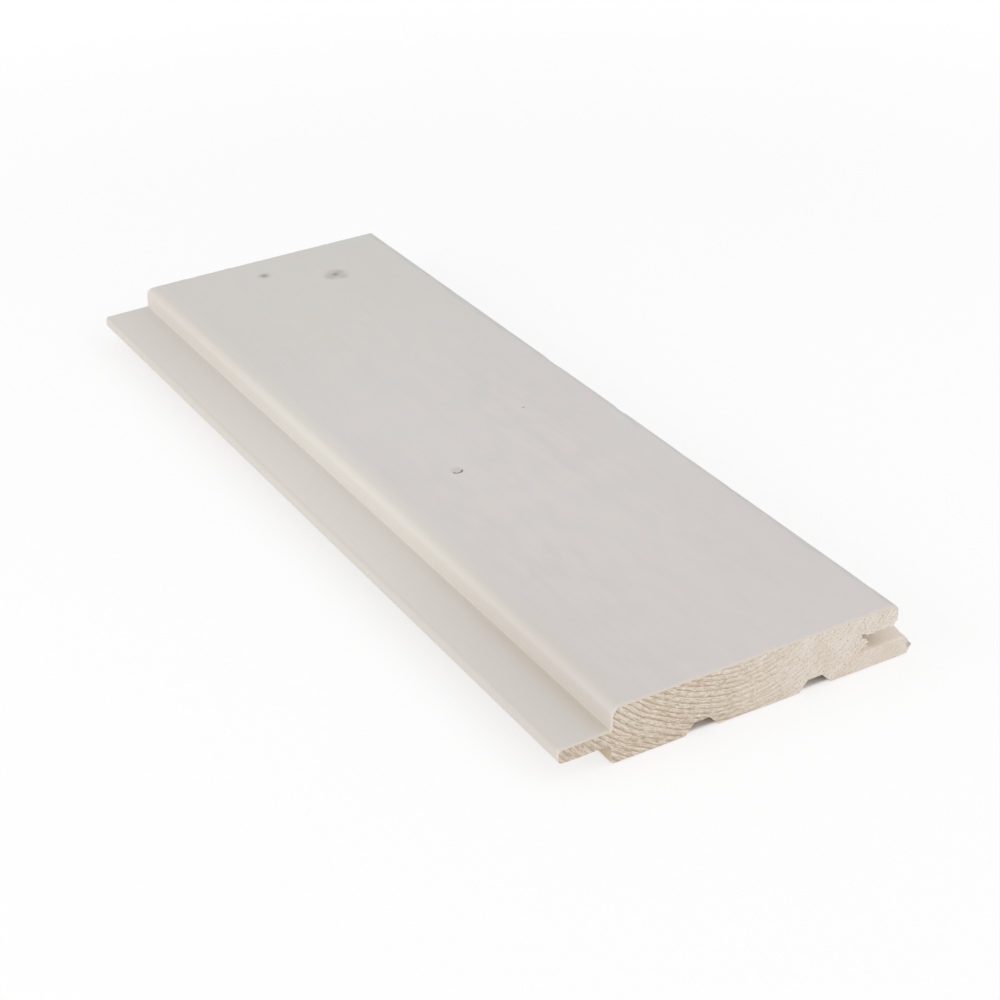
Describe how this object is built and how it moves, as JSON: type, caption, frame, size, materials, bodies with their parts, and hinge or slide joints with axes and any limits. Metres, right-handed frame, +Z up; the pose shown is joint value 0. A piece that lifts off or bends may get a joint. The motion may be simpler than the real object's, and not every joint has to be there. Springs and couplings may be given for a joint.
{
  "type": "tongue and groove board",
  "caption": "Short length of white-coated softwood board with a wide tongue, a groove whose lower lip stands proud to leave a shadow gap, and relief channels along the back.",
  "frame": {"origin": "middle of the length and of the overall width, on the plane of the back", "axes": "+X along the length, +Y across the width from the tongue to the groove, +Z up out of the face"},
  "size_m": [0.335, 0.12, 0.018],
  "materials": {
    "board": "thin satin white coat on the face, shoulder and tongue; raw planed softwood on the back, in the groove and on the sawn ends"
  },
  "bodies": {
    "root": {"board": "board"}
  },
  "joints": []
}
